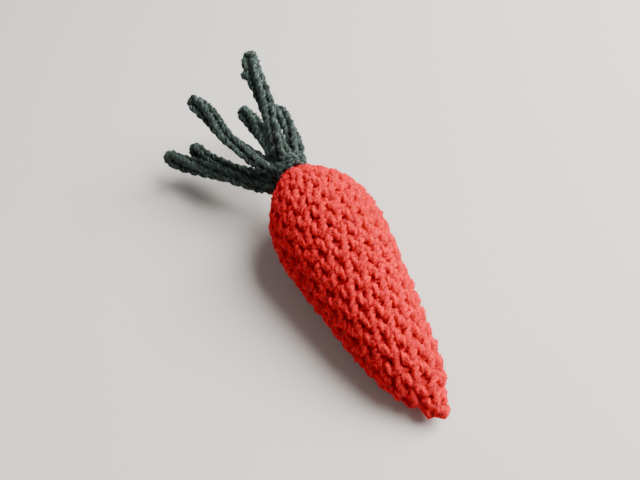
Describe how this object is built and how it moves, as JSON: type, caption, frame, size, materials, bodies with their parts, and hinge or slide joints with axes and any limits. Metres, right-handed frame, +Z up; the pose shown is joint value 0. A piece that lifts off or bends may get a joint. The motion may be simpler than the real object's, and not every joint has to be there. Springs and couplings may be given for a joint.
{
  "type": "crocheted toy carrot",
  "caption": "Stuffed crocheted carrot lying on its side: a tapering orange root in single crochet with a spray of curling green chain-stitch stalks at its crown.",
  "frame": {"origin": "middle of the flat spot that the root rests on, on the table's surface", "axes": "+X along the root from the crown towards the tip, +Z up off the table, +Y completing the right-handed set"},
  "size_m": [0.137, 0.054, 0.0487],
  "materials": {
    "orange_yarn": "matt, slightly fuzzy plied yarn in single crochet",
    "white_fibre": "loose matt fibre filling",
    "green_yarn": "matt, slightly fuzzy plied yarn in chain stitch"
  },
  "bodies": {
    "root": {"root_cover": "orange_yarn", "stuffing": "white_fibre", "greens": "green_yarn"}
  },
  "joints": []
}
